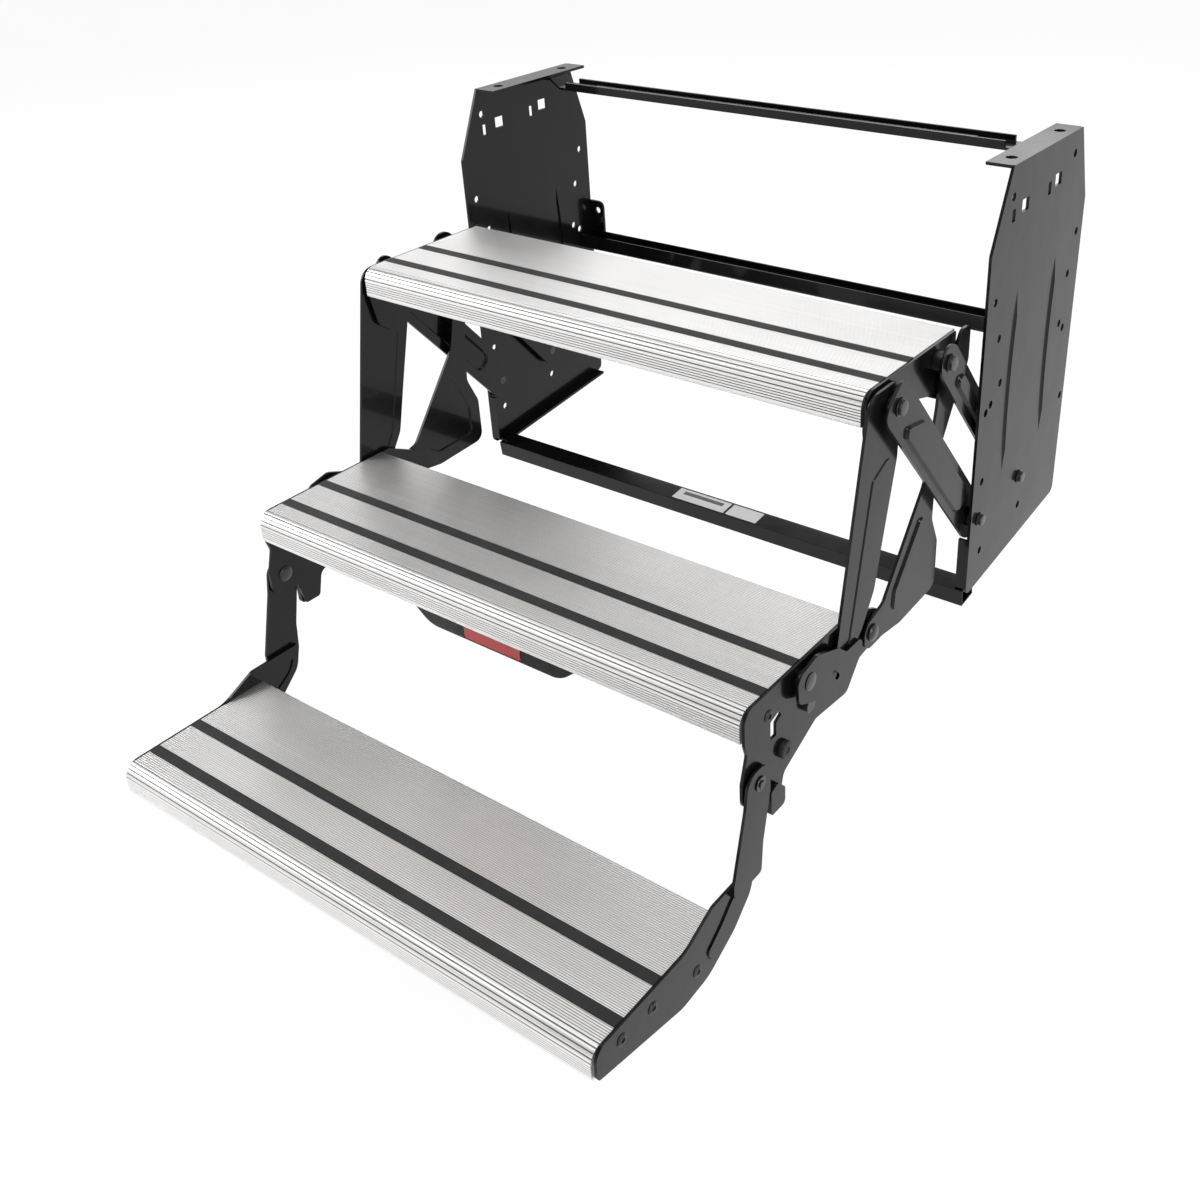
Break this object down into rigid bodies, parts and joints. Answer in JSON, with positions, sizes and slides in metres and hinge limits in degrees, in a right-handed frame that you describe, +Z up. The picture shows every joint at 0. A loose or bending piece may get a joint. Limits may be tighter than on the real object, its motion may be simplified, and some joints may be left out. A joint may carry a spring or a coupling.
{
  "type": "folding entry step",
  "caption": "Folding entry step with ribbed aluminium treads, hung from a vehicle frame by side plates and parallel links, with a flip-over bottom tread and a pull handle.",
  "frame": {"origin": "centre of the four frame-bolt holes, on top of the hanger's top flanges", "axes": "+X along the treads to the climber's right, +Y from the front tread towards the vehicle, +Z up"},
  "size_m": [0.662, 0.798, 0.5977],
  "materials": {
    "black_powder_coat": "glossy black coat",
    "tread_aluminium": "satin mill finish, fine ribs",
    "grip_rubber": "matte black",
    "black_fastener": "black zinc",
    "zinc_fastener": "black oxide",
    "blank_label": "white vinyl",
    "handle_label": "red vinyl"
  },
  "bodies": {
    "hanger": {"bar_rivets": "black_fastener", "bottom_cross_tube": "black_powder_coat", "hanger_left": "black_powder_coat", "hanger_right": "black_powder_coat", "label_narrow": "blank_label", "label_wide": "blank_label", "rear_cross_channel": "black_powder_coat", "rear_tab_left": "black_powder_coat", "rear_tab_right": "black_powder_coat", "top_cross_bar": "black_powder_coat"},
    "front_links": {"front_link_bolts": "black_fastener", "front_link_left": "black_powder_coat", "front_link_right": "black_powder_coat"},
    "rear_links": {"rear_link_bolts": "black_fastener", "rear_link_left": "black_powder_coat", "rear_link_right": "black_powder_coat"},
    "top_step": {"arm_eye_rivets": "black_fastener", "front_eye_bolts": "black_fastener", "grip_strip_top_front": "grip_rubber", "grip_strip_top_rear": "grip_rubber", "rear_eye_bolts": "black_fastener", "top_bracket_left": "black_powder_coat", "top_bracket_right": "black_powder_coat", "top_screws": "zinc_fastener", "tread_top": "tread_aluminium"},
    "front_legs": {"front_leg_left": "black_powder_coat", "front_leg_right": "black_powder_coat"},
    "rear_arms": {"rear_arm_left": "black_powder_coat", "rear_arm_right": "black_powder_coat"},
    "middle_step": {"arm_foot_bolts": "black_fastener", "grip_strip_middle_front": "grip_rubber", "grip_strip_middle_rear": "grip_rubber", "handle_label": "handle_label", "leg_foot_rivets": "black_fastener", "leg_stop_pins": "black_fastener", "middle_plate_left": "black_powder_coat", "middle_plate_right": "black_powder_coat", "middle_screws": "zinc_fastener", "pull_handle": "black_powder_coat", "rubber_bumpers": "grip_rubber", "step_hinge_rivets": "black_fastener", "step_stop_left": "black_powder_coat", "step_stop_right": "black_powder_coat", "tread_middle": "tread_aluminium"},
    "bottom_step": {"bottom_bracket_left": "black_powder_coat", "bottom_bracket_right": "black_powder_coat", "bottom_screws": "zinc_fastener", "grip_strip_bottom_front": "grip_rubber", "grip_strip_bottom_rear": "grip_rubber", "tread_bottom": "tread_aluminium"}
  },
  "joints": [
    {"name": "fold", "type": "hinge", "parent": "hanger", "child": "front_links", "pos_m": [0, -0.095, -0.35], "axis": [-1, 0, 0], "range_deg": [0, 37.5]},
    {"name": "rear_link_swing", "type": "hinge", "parent": "hanger", "child": "rear_links", "pos_m": [0, -0.001, -0.344], "axis": [-1, 0, 0], "range_deg": [0, 37.5]},
    {"name": "top_step_level", "type": "hinge", "parent": "front_links", "child": "top_step", "pos_m": [0, -0.259, -0.164], "axis": [1, 0, 0], "range_deg": [0, 37.5]},
    {"name": "front_leg_swing", "type": "hinge", "parent": "top_step", "child": "front_legs", "pos_m": [0, -0.259, -0.164], "axis": [1, 0, 0], "range_deg": [0, 37.5]},
    {"name": "rear_arm_swing", "type": "hinge", "parent": "top_step", "child": "rear_arms", "pos_m": [0, -0.143, -0.182], "axis": [1, 0, 0], "range_deg": [0, 37.5]},
    {"name": "middle_step_level", "type": "hinge", "parent": "front_legs", "child": "middle_step", "pos_m": [0, -0.392, -0.37], "axis": [-1, 0, 0], "range_deg": [0, 37.5]},
    {"name": "bottom_step_flip", "type": "hinge", "parent": "middle_step", "child": "bottom_step", "pos_m": [0, -0.465, -0.432], "axis": [-1, 0, 0], "range_deg": [0, 180]}
  ],
  "couplings": [
    {"joint": "rear_link_swing", "follows": "fold", "ratio": 1},
    {"joint": "top_step_level", "follows": "fold", "ratio": 1},
    {"joint": "front_leg_swing", "follows": "fold", "ratio": 1},
    {"joint": "rear_arm_swing", "follows": "fold", "ratio": 1},
    {"joint": "middle_step_level", "follows": "fold", "ratio": 1}
  ]
}
